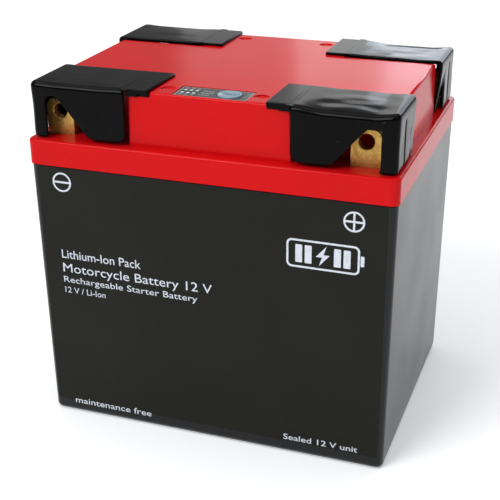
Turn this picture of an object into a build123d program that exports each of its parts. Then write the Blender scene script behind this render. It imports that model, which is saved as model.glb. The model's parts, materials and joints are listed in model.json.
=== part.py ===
from build123d import *

import os

# A sealed lithium motorcycle battery: a black case with a red stepped lid, four brass corner
# terminals under hinged flaps, and four prismatic cells with their links and balance board inside.
# X runs along the front face, Y to the back and Z up. The origin is the centre of the base.

# Case
CASE_LENGTH = 165.0
CASE_WIDTH = 125.0
CASE_HEIGHT = 126.0
CASE_DRAFT = 1.2
CASE_WALL = 2.5
CASE_FLOOR = 3.0
CASE_CORNER = 3.2
CASE_FOOT_ROUND = 3.0

# Lid: a flange over the case rim and a plus-shaped plateau that leaves four corner bays
GASKET = 0.6
FLANGE_LENGTH = CASE_LENGTH + 1.2
FLANGE_WIDTH = CASE_WIDTH + 1.2
FLANGE_CORNER = 3.6
LEDGE_Z = 138.0
PLATEAU_Z = 162.0
SKIN = 2.5
BLOCK_X = 36.3
BLOCK_Y = 57.3
ARM_X = 78.8
ARM_Y = 28.2
PLATEAU_TAPER = 1.0
PLATEAU_ROUND = 1.2
LEDGE_ROUND = 1.2
GASKET_INSET = 0.7
GASKET_WIDTH = 1.5
SPIGOT_DEPTH = 4.0
SPIGOT_WALL = 1.0
SPIGOT_CLEARANCE = 0.2

# Lid screws, their posts in the case and their plugs in the lid
SCREW_X = 20.8
SCREW_Y = 48.0
POST_RADIUS = 4.5
POST_TOP = 128.5
POST_BORE = 18.0
RIB_THICK = 2.0
WELL_OUTER = 5.0
WELL_INNER = 3.3
WELL_SEAT = 2.5
SHANK_RADIUS = 1.5
SHANK_LENGTH = 14.0
HEAD_RADIUS = 2.8
HEAD_HEIGHT = 2.2
DRIVE_LENGTH, DRIVE_WIDTH, DRIVE_DEPTH = 3.2, 0.7, 1.2
PLUG_RADIUS = 3.1
PLUG_DEPTH = 1.6
PLUG_SINK = 0.3

# Corner flaps and their fixed tabs
FLAP_TOP = 163.3
FLAP_WALL = 1.8
FLAP_OUTER_X = 81.5
FLAP_OUTER_Y = 60.5
FLAP_INNER_Y = 28.7
FLAP_FOOT = 138.6
HINGE_X = 36.5
HINGE_GAP = 0.2
SKIRT_FOOT = 139.5
LEG_X = 74.2
WINDOW_FOOT_X = 54.2
WINDOW_TOP_X = 69.0
WINDOW_TOP = 157.5
WINDOW_CORNER = 3.0
SKIRT_CORNER = 4.0
SLITS = ((37.0, 2.0), (48.0, 3.2))
SLIT_TOP = 158.5
TAB_X = 26.0
TAB_Y = 58.6
NOTCH_Z = 159.9
PEG_RADIUS = 1.6
PEG_X = 30.5
PEG_Y = (36.0, 51.0)
PEG_BORE = 8.0
FLAP_CORNER = 3.0
FLAP_ROUND = 2.4
FLAP_INNER_CORNER = 1.0
TAB_ROUND = 0.6

# Brass terminals
TERMINAL_X = 69.0
TERMINAL_SHIFT = 2.5
TERMINAL_WIDTH = 12.8
TERMINAL_THICK = 4.0
TERMINAL_FACE_Y = 52.0
TERMINAL_TOP = 153.9
TERMINAL_ROUND = 3.5
HOLE_Z = 148.6
HOLE_RADIUS = 3.2
HOLE_CHAMFER = 0.4
FOOT_Z = 132.5
FOOT_INNER_Y = 36.0
FOOT_SCREW_Y = 42.0
TERMINAL_SCREW = 2.6

# Label on the case's front face
FRONT_LABEL_LENGTH = 158.4
FRONT_LABEL_HEIGHT = 119.5
FRONT_LABEL_RISE = 1.4
FRONT_LABEL_CORNER = 1.5
FRONT_LABEL_THICK = 0.15

# Charge indicator on the front of the plateau
LABEL_X0, LABEL_X1 = -16.4, 16.6
LABEL_Y0, LABEL_Y1 = -56.0, -42.0
LABEL_SINK = 0.5
BUTTON_X, BUTTON_Y = 7.0, -48.8
BUTTON_RADIUS = 5.3
BUTTON_GAP = 0.3
LENS_RADIUS = 0.8
LENS_X = (-13.6, -11.0, -8.4)
LENS_Y = (-50.6, -46.6)
BOARD_Z = 151.5
BOARD_THICK = 1.6
BOARD_CENTRE = (-0.5, -47.8)
BOARD_LENGTH, BOARD_WIDTH = 29.0, 12.6
PILLARS = ((-2.5, -44.2), (-2.5, -52.4))
PILLAR_RADIUS = 1.8
BOARD_SCREW_RADIUS = 0.85
LABEL_MARGIN = 0.2
LABEL_THICK = 0.25
BUTTON_PROUD = 0.3
BUTTON_STOP = 1.2
BUTTON_STEM = 1.7
SWITCH_HEIGHT = 1.6
LED_HEIGHT = 0.7

# Cell pack
CELL_THICK = 24.0
CELL_PITCH = 25.2
CELL_WIDTH = 80.0
CELL_Z0, CELL_Z1 = 7.0, 113.0
POST_Y = 24.0
LINK_Z = 117.0
LINK_THICK = 2.0
LINK_BORE = 2.2
LINK_SCREW_HEAD = 2.6
BUS_Z = 130.5
BUS_WIDTH = 15.0
BUS_END = 6.0
BUS_RISER = 13.0
BUS_SCREW_HEAD = 2.8
BAND_Z = (30.0, 84.0)
BAND_HEIGHT = 12.0
BAND_THICK = 0.3

# Balance board, its parts and the flat cable to the indicator
BALANCE_LENGTH, BALANCE_WIDTH = 92.0, 28.0
SPACER_SPOTS = ((-40.0, -10.0), (-40.0, 10.0), (40.0, -10.0), (40.0, 10.0))
TRANSISTOR = (6.6, 6.2, 2.3)
RESISTOR = (2.5, 5.0, 0.6)
SOCKET = (10.0, 4.4, 3.0)
SOCKET_SLIT = (8.2, 0.5)
FLEX_WIDTH = 8.0
FLEX_THICK = 0.3
FLEX_BEND = 4.0
FLEX_Y = (-5.0, -46.0)
FLEX_TOP = 146.0
STRIP_WIDTH, STRIP_LENGTH, STRIP_THICK = 4.0, 7.0, 0.3
STRIP_Y = 15.5

# Foam between the pack and the case
FOAM_X = 78.4
FOAM_Y = 58.0
FOAM_GAP = 0.5
FOAM_SIDE_WIDTH = 116.0

CORNERS = {"front_right": (1, -1), "front_left": (-1, -1), "rear_right": (1, 1), "rear_left": (-1, 1)}


def save(piece, name):
    """Label a finished piece and write it as parts/NAME.step."""
    piece.part.label = name
    export_step(piece.part, f"parts/{name}.step")


def rounded_block(length, width, radius, z0, z1):
    """A block on Z with rounded upright edges."""
    with BuildPart() as block:
        with BuildSketch(Plane.XY.offset(z0)):
            RectangleRounded(length, width, radius)
        extrude(amount=z1 - z0)
    return block.part


def drafted_block(length, width, radius, inset, z0, z1):
    """A block on Z whose base is narrower than its top by an inset on each side."""
    with BuildPart() as block:
        with BuildSketch(Plane.XY.offset(z0)):
            RectangleRounded(length - 2 * inset, width - 2 * inset, radius)
        with BuildSketch(Plane.XY.offset(z1)):
            RectangleRounded(length, width, radius)
        loft()
    return block.part


def plateau(inset, z0, z1):
    """The plus-shaped plateau, drawn in by an inset on every side."""
    with BuildPart() as block:
        with BuildSketch(Plane.XY.offset(z0)):
            Rectangle(2 * (BLOCK_X - inset), 2 * (BLOCK_Y - inset))
            Rectangle(2 * (ARM_X - inset), 2 * (ARM_Y - inset))
        extrude(amount=z1 - z0, taper=PLATEAU_TAPER)
    return block.part


os.makedirs("parts", exist_ok=True)

terminal_x = {
    name: sx * TERMINAL_X + sy * TERMINAL_SHIFT for name, (sx, sy) in CORNERS.items()
}
screw_points = [(sx * SCREW_X, sy * SCREW_Y) for sx, sy in CORNERS.values()]

# ---- Case ----
with BuildPart() as case:
    add(drafted_block(CASE_LENGTH, CASE_WIDTH, CASE_CORNER, CASE_DRAFT, 0, CASE_HEIGHT))
    fillet(case.faces().sort_by(Axis.Z)[0].edges(), CASE_FOOT_ROUND)
    inner = drafted_block(
        CASE_LENGTH - 2 * CASE_WALL, CASE_WIDTH - 2 * CASE_WALL, 1, CASE_DRAFT, CASE_FLOOR, CASE_HEIGHT
    )
    add(inner, mode=Mode.SUBTRACT)
    with BuildSketch(Plane.XY.offset(CASE_FLOOR)):
        with Locations(*screw_points):
            Circle(POST_RADIUS)
    extrude(amount=POST_TOP - CASE_FLOOR)
    rib_out = CASE_WIDTH / 2 - CASE_WALL + 0.5
    with BuildSketch(Plane.XY.offset(CASE_FLOOR)):
        for sx, sy in CORNERS.values():
            with Locations((sx * SCREW_X, sy * (SCREW_Y + rib_out) / 2)):
                Rectangle(RIB_THICK, rib_out - SCREW_Y)
    extrude(amount=CASE_HEIGHT - SPIGOT_DEPTH - CASE_FLOOR - 2)
    with BuildSketch(Plane.XY.offset(POST_TOP)):
        with Locations(*screw_points):
            Circle(SHANK_RADIUS)
    extrude(amount=-POST_BORE, mode=Mode.SUBTRACT)
save(case, "case")

# ---- Gasket in the joint between case and lid ----
with BuildPart() as gasket:
    with BuildSketch(Plane.XY.offset(CASE_HEIGHT)):
        outer = RectangleRounded(CASE_LENGTH - 2 * GASKET_INSET, CASE_WIDTH - 2 * GASKET_INSET, CASE_CORNER)
        offset(outer, amount=-GASKET_WIDTH, mode=Mode.SUBTRACT)
    extrude(amount=GASKET)
save(gasket, "lid_gasket")

# ---- Lid ----
flange_z = CASE_HEIGHT + GASKET
ledge_under = LEDGE_Z - SKIN
with BuildPart() as lid:
    add(rounded_block(FLANGE_LENGTH, FLANGE_WIDTH, FLANGE_CORNER, flange_z, LEDGE_Z))
    fillet(lid.faces().sort_by(Axis.Z)[-1].edges(), LEDGE_ROUND)
    add(plateau(0, LEDGE_Z, PLATEAU_Z))
    fillet(lid.faces().sort_by(Axis.Z)[-1].edges(), PLATEAU_ROUND)

    # Spigot that drops inside the case rim
    spigot_length = CASE_LENGTH - 2 * CASE_WALL - 2 * SPIGOT_CLEARANCE
    spigot_width = CASE_WIDTH - 2 * CASE_WALL - 2 * SPIGOT_CLEARANCE
    add(rounded_block(spigot_length, spigot_width, 1, CASE_HEIGHT - SPIGOT_DEPTH, flange_z))

    # Hollow under the spigot, the ledge and the plateau
    hollow_length = spigot_length - 2 * SPIGOT_WALL
    hollow_width = spigot_width - 2 * SPIGOT_WALL
    hollow = rounded_block(hollow_length, hollow_width, 0.5, CASE_HEIGHT - SPIGOT_DEPTH, ledge_under)
    add(hollow, mode=Mode.SUBTRACT)
    add(plateau(SKIN, ledge_under, PLATEAU_Z - SKIN), mode=Mode.SUBTRACT)

    # Thicker skin under the tab notches, then the notches
    notch_x = (TAB_X + BLOCK_X) / 2
    notch_y = (FLAP_INNER_Y + BLOCK_Y) / 2
    for sx, sy in CORNERS.values():
        with BuildSketch(Plane.XY.offset(NOTCH_Z - SKIN)):
            with Locations((sx * (TAB_X + BLOCK_X - SKIN) / 2, sy * (ARM_Y + BLOCK_Y - SKIN) / 2)):
                Rectangle(BLOCK_X - TAB_X, BLOCK_Y - ARM_Y)
        extrude(amount=SKIN)
        with BuildSketch(Plane.XY.offset(PLATEAU_Z)):
            with Locations((sx * (notch_x + 1), sy * (notch_y + 1))):
                Rectangle(BLOCK_X - TAB_X + 2.4, BLOCK_Y - FLAP_INNER_Y + 2.4)
        extrude(amount=NOTCH_Z - PLATEAU_Z, mode=Mode.SUBTRACT)
        with BuildSketch(Plane.XY.offset(PLATEAU_Z)):
            with Locations(*[(sx * PEG_X, sy * y) for y in PEG_Y]):
                Circle(PEG_RADIUS + 0.1)
        extrude(amount=-PEG_BORE, mode=Mode.SUBTRACT)

    # Screw wells from the plateau down to the case posts
    with BuildSketch(Plane.XY.offset(POST_TOP)):
        with Locations(*screw_points):
            Circle(WELL_OUTER)
    extrude(amount=PLATEAU_Z - SKIN - POST_TOP)
    with BuildSketch(Plane.XY.offset(POST_TOP + WELL_SEAT)):
        with Locations(*screw_points):
            Circle(WELL_INNER)
    extrude(amount=PLATEAU_Z - POST_TOP, mode=Mode.SUBTRACT)
    with BuildSketch(Plane.XY.offset(POST_TOP)):
        with Locations(*screw_points):
            Circle(SHANK_RADIUS + 0.2)
    extrude(amount=WELL_SEAT, mode=Mode.SUBTRACT)

    # Recess of the indicator label, with the button's and the lenses' holes
    with BuildSketch(Plane.XY.offset(PLATEAU_Z)):
        with Locations(((LABEL_X0 + LABEL_X1) / 2, (LABEL_Y0 + LABEL_Y1) / 2)):
            Rectangle(LABEL_X1 - LABEL_X0, LABEL_Y1 - LABEL_Y0)
    extrude(amount=-LABEL_SINK, mode=Mode.SUBTRACT)
    with BuildSketch(Plane.XY.offset(PLATEAU_Z)):
        with Locations((BUTTON_X, BUTTON_Y)):
            Circle(BUTTON_RADIUS + BUTTON_GAP)
        with Locations(*[(x, y) for x in LENS_X for y in LENS_Y]):
            Circle(LENS_RADIUS + 0.05)
    extrude(amount=-SKIN, mode=Mode.SUBTRACT)

    # Two pillars that carry the indicator board
    with BuildSketch(Plane.XY.offset(BOARD_Z + BOARD_THICK)):
        with Locations(*PILLARS):
            Circle(PILLAR_RADIUS)
    extrude(amount=PLATEAU_Z - SKIN - BOARD_Z - BOARD_THICK)

    # Slots in the bay floors, where the terminals stand through the lid
    for name, (sx, sy) in CORNERS.items():
        with BuildSketch(Plane.XY.offset(LEDGE_Z)):
            with Locations((terminal_x[name], sy * (TERMINAL_FACE_Y - TERMINAL_THICK / 2))):
                Rectangle(TERMINAL_WIDTH + 0.2, TERMINAL_THICK + 0.2)
        extrude(amount=-SKIN, mode=Mode.SUBTRACT)
save(lid, "lid")

# ---- Labels ----
front = case.faces().filter_by(lambda f: f.normal_at().Y < -0.9).sort_by(Axis.Y)[0]
front_plane = Plane(origin=(0, front.center().Y, front.center().Z), x_dir=(1, 0, 0), z_dir=front.normal_at())
with BuildPart() as front_label:
    with BuildSketch(front_plane):
        with Locations((0, FRONT_LABEL_RISE)):
            RectangleRounded(FRONT_LABEL_LENGTH, FRONT_LABEL_HEIGHT, FRONT_LABEL_CORNER)
    extrude(amount=FRONT_LABEL_THICK)
save(front_label, "front_label")

label_z = PLATEAU_Z - LABEL_SINK
with BuildPart() as indicator_label:
    with BuildSketch(Plane.XY.offset(label_z)):
        with Locations(((LABEL_X0 + LABEL_X1) / 2, (LABEL_Y0 + LABEL_Y1) / 2)):
            Rectangle(LABEL_X1 - LABEL_X0 - 2 * LABEL_MARGIN, LABEL_Y1 - LABEL_Y0 - 2 * LABEL_MARGIN)
        with Locations((BUTTON_X, BUTTON_Y)):
            Circle(BUTTON_RADIUS + BUTTON_GAP, mode=Mode.SUBTRACT)
        with Locations(*[(x, y) for x in LENS_X for y in LENS_Y]):
            Circle(LENS_RADIUS + 0.05, mode=Mode.SUBTRACT)
    extrude(amount=LABEL_THICK)
save(indicator_label, "indicator_label")

# ---- Test button, its switch and the indicator board ----
board_top = BOARD_Z + BOARD_THICK
button_z = PLATEAU_Z - SKIN - BUTTON_GAP
with BuildPart() as test_button:
    with BuildSketch(Plane.XY.offset(button_z)):
        with Locations((BUTTON_X, BUTTON_Y)):
            Circle(BUTTON_RADIUS)
    extrude(amount=SKIN + BUTTON_GAP + BUTTON_PROUD)
    fillet(test_button.faces().sort_by(Axis.Z)[-1].edges(), 0.4)
    with BuildSketch(Plane.XY.offset(button_z)):
        with Locations((BUTTON_X, BUTTON_Y)):
            Rectangle(2 * BUTTON_RADIUS + 2.6, 8)
    extrude(amount=-BUTTON_STOP)
    with BuildSketch(Plane.XY.offset(button_z - BUTTON_STOP)):
        with Locations((BUTTON_X, BUTTON_Y)):
            Circle(1.6)
    extrude(amount=-BUTTON_STEM)
save(test_button, "test_button")

with BuildPart() as test_switch:
    with BuildSketch(Plane.XY.offset(board_top)):
        with Locations((BUTTON_X, BUTTON_Y)):
            RectangleRounded(6, 6, 0.5)
    extrude(amount=SWITCH_HEIGHT)
    with BuildSketch(Plane.XY.offset(board_top + SWITCH_HEIGHT)):
        with Locations((BUTTON_X, BUTTON_Y)):
            Circle(1.7)
    extrude(amount=0.7)
save(test_switch, "test_switch")

with BuildPart() as indicator_board:
    with BuildSketch(Plane.XY.offset(BOARD_Z)):
        with Locations(BOARD_CENTRE):
            RectangleRounded(BOARD_LENGTH, BOARD_WIDTH, 1)
        with Locations(*PILLARS):
            Circle(BOARD_SCREW_RADIUS + 0.05, mode=Mode.SUBTRACT)
    extrude(amount=BOARD_THICK)
save(indicator_board, "indicator_board")

with BuildPart() as board_screws:
    with BuildSketch(Plane.XY.offset(BOARD_Z)):
        with Locations(*PILLARS):
            Circle(1.6)
    extrude(amount=-1.2)
    with BuildSketch(Plane.XY.offset(BOARD_Z)):
        with Locations(*PILLARS):
            Circle(BOARD_SCREW_RADIUS)
    extrude(amount=BOARD_THICK)
save(board_screws, "indicator_board_screws")

with BuildPart() as leds:
    with BuildSketch(Plane.XY.offset(board_top)):
        with Locations(*[(x, y) for x in LENS_X for y in LENS_Y]):
            Rectangle(1.6, 0.8)
    extrude(amount=LED_HEIGHT)
save(leds, "indicator_leds")

with BuildPart() as lenses:
    with BuildSketch(Plane.XY.offset(board_top + LED_HEIGHT)):
        with Locations(*[(x, y) for x in LENS_X for y in LENS_Y]):
            Circle(LENS_RADIUS)
    extrude(amount=label_z + LABEL_THICK - board_top - LED_HEIGHT)
save(lenses, "indicator_lenses")

# ---- Lid screws and plugs ----
screw_seat = POST_TOP + WELL_SEAT
with BuildPart() as lid_screws:
    with BuildSketch(Plane.XY.offset(screw_seat)):
        with Locations(*screw_points):
            Circle(HEAD_RADIUS)
    extrude(amount=HEAD_HEIGHT)
    fillet(lid_screws.edges().group_by(Axis.Z)[-1], 0.6)
    with BuildSketch(Plane.XY.offset(screw_seat + HEAD_HEIGHT)):
        with Locations(*screw_points):
            Rectangle(DRIVE_LENGTH, DRIVE_WIDTH)
            Rectangle(DRIVE_WIDTH, DRIVE_LENGTH)
    extrude(amount=-DRIVE_DEPTH, mode=Mode.SUBTRACT)
    with BuildSketch(Plane.XY.offset(screw_seat)):
        with Locations(*screw_points):
            Circle(SHANK_RADIUS - 0.05)
    extrude(amount=-SHANK_LENGTH)
save(lid_screws, "lid_screws")

with BuildPart() as screw_plugs:
    with BuildSketch(Plane.XY.offset(PLATEAU_Z - PLUG_SINK)):
        with Locations(*screw_points):
            Circle(PLUG_RADIUS)
    extrude(amount=-PLUG_DEPTH)
    fillet(screw_plugs.edges().group_by(Axis.Z)[-1], 0.35)
save(screw_plugs, "screw_plugs")

# ---- Terminals ----
for name, (sx, sy) in CORNERS.items():
    x = terminal_x[name]
    plate_plane = Plane(origin=(x, sy * TERMINAL_FACE_Y, 0), x_dir=(1, 0, 0), z_dir=(0, -1, 0))
    plate_in = TERMINAL_THICK if sy < 0 else -TERMINAL_THICK
    with BuildPart() as terminal:
        with BuildSketch(plate_plane):
            with Locations((0, (FOOT_Z + TERMINAL_TOP) / 2)):
                plate = Rectangle(TERMINAL_WIDTH, TERMINAL_TOP - FOOT_Z)
            fillet(plate.vertices().group_by(Axis.Z)[-1], TERMINAL_ROUND)
        extrude(amount=-plate_in)
        with BuildSketch(Plane.XY.offset(FOOT_Z)):
            with Locations((x, sy * (TERMINAL_FACE_Y + FOOT_INNER_Y) / 2)):
                Rectangle(TERMINAL_WIDTH, TERMINAL_FACE_Y - FOOT_INNER_Y)
            with Locations((x, sy * FOOT_SCREW_Y)):
                Circle(TERMINAL_SCREW, mode=Mode.SUBTRACT)
        extrude(amount=LEDGE_Z - SKIN - FOOT_Z)
        with BuildSketch(plate_plane):
            with Locations((0, HOLE_Z)):
                Circle(HOLE_RADIUS)
        extrude(amount=-plate_in, mode=Mode.SUBTRACT)
        rims = terminal.edges().filter_by(GeomType.CIRCLE).filter_by(
            lambda e: abs(e.radius - HOLE_RADIUS) < 0.01
        )
        chamfer(rims, HOLE_CHAMFER)
    save(terminal, f"terminal_{name}")

# ---- Flaps over the bays, each hinged on the inner edge of its top, and their fixed tabs ----
flap_x0 = HINGE_X + HINGE_GAP
roof_z = FLAP_TOP - FLAP_WALL
for name, (sx, sy) in CORNERS.items():
    face_plane = Plane(origin=(0, sy * FLAP_OUTER_Y, 0), x_dir=(1, 0, 0), z_dir=(0, -1, 0))
    with BuildPart() as flap:
        with BuildSketch(Plane.XY.offset(FLAP_FOOT)):
            with Locations((sx * (flap_x0 + FLAP_OUTER_X) / 2, sy * (FLAP_INNER_Y + FLAP_OUTER_Y) / 2)):
                Rectangle(FLAP_OUTER_X - flap_x0, FLAP_OUTER_Y - FLAP_INNER_Y)
        extrude(amount=FLAP_TOP - FLAP_FOOT)
        outer_post = flap.edges().filter_by(Axis.Z).sort_by(lambda e: sx * e.center().X + sy * e.center().Y)
        fillet(outer_post[-1], FLAP_CORNER)
        top = flap.faces().sort_by(Axis.Z)[-1]
        outer_rim = top.edges().filter_by(
            lambda e: sx * e.center().X > flap_x0 + 1 and sy * e.center().Y > FLAP_INNER_Y + 0.1
        )
        fillet(outer_rim, FLAP_ROUND)
        inside_x = FLAP_OUTER_X - FLAP_WALL
        inside_y = FLAP_OUTER_Y - FLAP_WALL
        with BuildSketch(Plane.XY.offset(FLAP_FOOT)):
            with Locations((sx * (flap_x0 + inside_x) / 2, sy * (FLAP_INNER_Y + inside_y) / 2)):
                inside = Rectangle(inside_x - flap_x0, inside_y - FLAP_INNER_Y)
            far_corner = inside.vertices().sort_by(lambda v: sx * v.X + sy * v.Y)[-1]
            fillet(far_corner, FLAP_INNER_CORNER)
        extrude(amount=roof_z - FLAP_FOOT, mode=Mode.SUBTRACT)

        # Window in the outer skirt in front of the terminal, and the shortened skirt beside it
        with BuildSketch(face_plane):
            with BuildLine():
                Polyline(
                    (sx * flap_x0, FLAP_FOOT - 1),
                    (sx * flap_x0, SKIRT_FOOT),
                    (sx * WINDOW_FOOT_X, SKIRT_FOOT),
                    (sx * WINDOW_TOP_X, WINDOW_TOP),
                    (sx * LEG_X, WINDOW_TOP),
                    (sx * LEG_X, FLAP_FOOT - 1),
                    close=True,
                )
            make_face()
            fillet(vertices().sort_by(lambda v: v.Z + sx * v.X)[-1], WINDOW_CORNER)
            fillet([v for v in vertices() if abs(abs(v.X) - WINDOW_FOOT_X) < 0.01], SKIRT_CORNER)
        extrude(amount=sy * (FLAP_WALL + 0.4), mode=Mode.SUBTRACT)
        hinge_corner = flap.edges().filter_by(Axis.Y).filter_by(
            lambda e: abs(e.center().Z - SKIRT_FOOT) < 0.01 and abs(sx * e.center().X - flap_x0) < 0.01
        )
        fillet(hinge_corner, SKIRT_CORNER)

        # Two wedge slits that part the outer side wall into fingers
        with BuildSketch(Plane.YZ.offset(sx * FLAP_OUTER_X)):
            for slit_y, slit_foot in SLITS:
                with BuildLine():
                    Polyline(
                        (sy * (slit_y - slit_foot / 2), FLAP_FOOT - 1),
                        (sy * (slit_y - 0.3), SLIT_TOP),
                        (sy * (slit_y + 0.3), SLIT_TOP),
                        (sy * (slit_y + slit_foot / 2), FLAP_FOOT - 1),
                        close=True,
                    )
                make_face()
        extrude(amount=-sx * (FLAP_WALL + 0.1), mode=Mode.SUBTRACT)
    save(flap, f"flap_{name}")

    tab_x1 = HINGE_X - HINGE_GAP
    with BuildPart() as tab:
        with BuildSketch(Plane.XY.offset(NOTCH_Z)):
            with Locations((sx * (TAB_X + tab_x1) / 2, sy * (FLAP_INNER_Y + TAB_Y) / 2)):
                Rectangle(tab_x1 - TAB_X, TAB_Y - FLAP_INNER_Y)
        extrude(amount=FLAP_TOP - NOTCH_Z)
        tab_top = tab.faces().sort_by(Axis.Z)[-1]
        tab_rim = tab_top.edges().filter_by(lambda e: sx * e.center().X < tab_x1 - 0.1)
        fillet(tab_rim, TAB_ROUND)
        with BuildSketch(Plane.XY.offset(NOTCH_Z)):
            with Locations(*[(sx * PEG_X, sy * y) for y in PEG_Y]):
                Circle(PEG_RADIUS)
        extrude(amount=-SKIN - 0.3)
    save(tab, f"flap_tab_{name}")

# ---- Cells, standing side by side with their posts up, turned end for end in alternation ----
cell_x = [(k - 1.5) * CELL_PITCH for k in range(4)]
for k, x in enumerate(cell_x):
    with BuildPart() as cell:
        with BuildSketch(Plane.XY.offset(CELL_Z0)):
            with Locations((x, 0)):
                RectangleRounded(CELL_THICK, CELL_WIDTH, 2)
        extrude(amount=CELL_Z1 - CELL_Z0)
        fillet(cell.faces().sort_by(Axis.Z)[-1].edges(), 0.8)
        with BuildSketch(Plane.XY.offset(CELL_Z1)):
            with Locations((x, -POST_Y), (x, POST_Y)):
                RectangleRounded(12, 12, 1.5)
        extrude(amount=LINK_Z - CELL_Z1)
        with BuildSketch(Plane.XY.offset(LINK_Z)):
            with Locations((x, -POST_Y), (x, POST_Y)):
                Circle(2.1)
        extrude(amount=-8, mode=Mode.SUBTRACT)
    save(cell, f"cell_{k + 1}")

with BuildPart() as cell_vents:
    with BuildSketch(Plane.XY.offset(CELL_Z1)):
        for x in cell_x:
            with Locations((x, 0)):
                SlotOverall(11, 6)
    extrude(amount=0.4)
save(cell_vents, "cell_vents")

with BuildPart() as cell_spacers:
    with BuildSketch(Plane.XY.offset(CELL_Z0)):
        with Locations(*[(x, 0) for x in (-CELL_PITCH, 0, CELL_PITCH)]):
            Rectangle(CELL_PITCH - CELL_THICK, CELL_WIDTH - 5)
    extrude(amount=CELL_Z1 - CELL_Z0 - 4)
save(cell_spacers, "cell_spacers")

stack_x = 1.5 * CELL_PITCH + CELL_THICK / 2
with BuildPart() as pack_bands:
    for z in BAND_Z:
        with BuildSketch(Plane.XY.offset(z)):
            RectangleRounded(2 * stack_x + 2 * BAND_THICK, CELL_WIDTH + 2 * BAND_THICK, 2 + BAND_THICK)
            RectangleRounded(2 * stack_x, CELL_WIDTH, 2, mode=Mode.SUBTRACT)
        extrude(amount=BAND_HEIGHT)
save(pack_bands, "pack_bands")

# ---- Links from cell to cell, and the bus strap of each pole ----
link_posts = (((cell_x[0] + cell_x[1]) / 2, 1), (0, -1), ((cell_x[2] + cell_x[3]) / 2, 1))
for k, (x, side) in enumerate(link_posts):
    with BuildPart() as link:
        with BuildSketch(Plane.XY.offset(LINK_Z)):
            with Locations((x, side * POST_Y)):
                RectangleRounded(CELL_PITCH + 14, 14, 2)
            with Locations((x - CELL_PITCH / 2, side * POST_Y), (x + CELL_PITCH / 2, side * POST_Y)):
                Circle(LINK_BORE, mode=Mode.SUBTRACT)
        extrude(amount=LINK_THICK)
    save(link, f"cell_link_{k + 1}")

for name, sx in (("positive_bus", 1), ("negative_bus", -1)):
    post_x = sx * cell_x[3]
    terminal_spots = [(terminal_x[c], sy * FOOT_SCREW_Y) for c, (s, sy) in CORNERS.items() if s == sx]
    with BuildPart() as bus:
        with BuildSketch(Plane.XY.offset(BUS_Z)):
            with Locations((sx * TERMINAL_X, 0)):
                RectangleRounded(BUS_WIDTH, 2 * FOOT_SCREW_Y + 12, 2)
            with Locations(*terminal_spots):
                Circle(TERMINAL_SCREW, mode=Mode.SUBTRACT)
        extrude(amount=LINK_THICK)
        with BuildSketch(Plane.XZ.offset(POST_Y)):
            with BuildLine():
                Polyline(
                    (post_x - sx * 7, LINK_Z),
                    (post_x + sx * BUS_RISER, LINK_Z),
                    (post_x + sx * BUS_RISER, BUS_Z),
                    (sx * (TERMINAL_X - BUS_END), BUS_Z),
                    (sx * (TERMINAL_X - BUS_END), BUS_Z + LINK_THICK),
                    (post_x + sx * (BUS_RISER - LINK_THICK), BUS_Z + LINK_THICK),
                    (post_x + sx * (BUS_RISER - LINK_THICK), LINK_Z + LINK_THICK),
                    (post_x - sx * 7, LINK_Z + LINK_THICK),
                    close=True,
                )
            make_face()
        extrude(amount=BUS_WIDTH / 2, both=True)
        with BuildSketch(Plane.XY.offset(LINK_Z)):
            with Locations((post_x, -POST_Y)):
                Circle(LINK_BORE)
        extrude(amount=LINK_THICK, mode=Mode.SUBTRACT)
    save(bus, name)

with BuildPart() as link_screws:
    spots = [(x, side * POST_Y) for x in cell_x for side in (-1, 1)]
    with BuildSketch(Plane.XY.offset(LINK_Z + LINK_THICK)):
        with Locations(*spots):
            Circle(3.6)
    extrude(amount=LINK_SCREW_HEAD)
    fillet(link_screws.edges().group_by(Axis.Z)[-1], 0.6)
    with BuildSketch(Plane.XY.offset(LINK_Z + LINK_THICK + LINK_SCREW_HEAD)):
        with Locations(*spots):
            RegularPolygon(1.7, 6)
    extrude(amount=-1.5, mode=Mode.SUBTRACT)
    with BuildSketch(Plane.XY.offset(LINK_Z + LINK_THICK)):
        with Locations(*spots):
            Circle(2)
    extrude(amount=-LINK_THICK - 7)
save(link_screws, "link_screws")

with BuildPart() as terminal_screws:
    spots = [(terminal_x[c], sy * FOOT_SCREW_Y) for c, (sx, sy) in CORNERS.items()]
    with BuildSketch(Plane.XY.offset(BUS_Z)):
        with Locations(*spots):
            Circle(4.2)
    extrude(amount=-BUS_SCREW_HEAD)
    with BuildSketch(Plane.XY.offset(BUS_Z - BUS_SCREW_HEAD)):
        with Locations(*spots):
            RegularPolygon(2.1, 6)
    extrude(amount=1.6, mode=Mode.SUBTRACT)
    with BuildSketch(Plane.XY.offset(BUS_Z)):
        with Locations(*spots):
            Circle(TERMINAL_SCREW - 0.1)
    extrude(amount=LINK_THICK + LEDGE_Z - SKIN - FOOT_Z)
save(terminal_screws, "terminal_screws")

# ---- Balance board over the middle of the cells ----
with BuildPart() as board_spacers:
    with BuildSketch(Plane.XY.offset(CELL_Z1)):
        with Locations(*SPACER_SPOTS):
            RegularPolygon(2.6, 6)
    extrude(amount=LINK_Z - CELL_Z1)
save(board_spacers, "board_spacers")

balance_top = LINK_Z + BOARD_THICK
with BuildPart() as balance_board:
    with BuildSketch(Plane.XY.offset(LINK_Z)):
        RectangleRounded(BALANCE_LENGTH, BALANCE_WIDTH, 2)
    extrude(amount=BOARD_THICK)
save(balance_board, "balance_board")

with BuildPart() as balance_transistors:
    with BuildSketch(Plane.XY.offset(balance_top)):
        with Locations(*[(x, 6) for x in cell_x]):
            Rectangle(TRANSISTOR[0], TRANSISTOR[1])
    extrude(amount=TRANSISTOR[2])
save(balance_transistors, "balance_transistors")

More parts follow.
